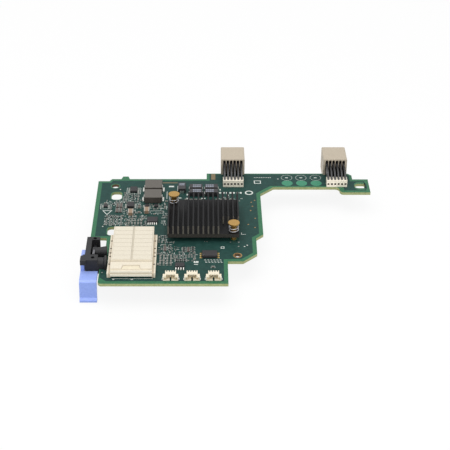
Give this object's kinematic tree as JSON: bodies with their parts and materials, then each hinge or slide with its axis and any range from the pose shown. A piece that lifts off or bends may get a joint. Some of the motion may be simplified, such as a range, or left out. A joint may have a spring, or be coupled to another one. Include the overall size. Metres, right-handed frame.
{
  "type": "mezzanine network card",
  "caption": "Stepped green circuit card with a board-to-board connector, midplane connectors at the rear edge, a finned heat sink and a hinged blue release lever.",
  "frame": {"origin": "centre of the datum hole on the board's component face", "axes": "+Z leaves the component face along the datum hole, +X runs along the longest side to the far arm, +Y points to the edge with the midplane connectors"},
  "size_m": [0.1546, 0.1255, 0.0219],
  "materials": {
    "board_laminate": "green solder mask over glass-fibre laminate",
    "pale_plastic": "moulded, matte cream",
    "black_plastic": "moulded, matte black",
    "tinned_metal": "tin plated",
    "contact_brass": "plated",
    "black_anodised": "black anodised",
    "grey_pad": "soft matte",
    "pin_brass": "turned",
    "spring_steel": "drawn wire",
    "pressed_powder": "matte grey",
    "tan_ceramic": "fired, matte",
    "grey_ceramic": "fired, matte",
    "blue_plastic": "moulded, satin blue",
    "chip_moulding": "moulded, matte black"
  },
  "bodies": {
    "card": {"ceramic_capacitors": "tan_ceramic", "chip_capacitors": "grey_ceramic", "chip_resistors": "grey_ceramic", "circuit_board": "board_laminate", "controller_chip": "chip_moulding", "front_pin_spring": "spring_steel", "front_power_inductor": "pressed_powder", "front_power_switch_chip": "chip_moulding", "front_power_switch_leads": "tinned_metal", "front_push_pin": "pin_brass", "header_contacts": "contact_brass", "header_solder_tabs": "tinned_metal", "heat_sink": "black_anodised", "inductor_terminals": "tinned_metal", "left_midplane_hood": "pale_plastic", "left_midplane_organizer": "pale_plastic", "left_midplane_tails": "tinned_metal", "left_midplane_wafers": "black_plastic", "left_wire_header": "pale_plastic", "lever_bracket": "black_plastic", "lever_pivot_pin": "spring_steel", "logic_chips": "chip_moulding", "logic_leads": "tinned_metal", "memory_chip": "chip_moulding", "memory_leads": "tinned_metal", "mezzanine_contact_plates": "pale_plastic", "mezzanine_housing": "pale_plastic", "middle_wire_header": "pale_plastic", "polymer_capacitors": "chip_moulding", "polymer_terminals": "tinned_metal", "rear_pin_spring": "spring_steel", "rear_power_inductor": "pressed_powder", "rear_power_switch_chip": "chip_moulding", "rear_power_switch_leads": "tinned_metal", "rear_push_pin": "pin_brass", "regulator_chip": "chip_moulding", "regulator_leads": "tinned_metal", "resistor_arrays": "grey_ceramic", "right_midplane_hood": "pale_plastic", "right_midplane_organizer": "pale_plastic", "right_midplane_tails": "tinned_metal", "right_midplane_wafers": "black_plastic", "right_wire_header": "pale_plastic", "settings_memory_chip": "chip_moulding", "settings_memory_leads": "tinned_metal", "thermal_pad": "grey_pad"},
    "lever": {"release_lever": "blue_plastic"}
  },
  "joints": [
    {"name": "lever_hinge", "type": "hinge", "parent": "card", "child": "lever", "pos_m": [-0.0783, -0.0103, 0.0024], "axis": [-1, 0, 0], "range_deg": [0, 40]}
  ]
}
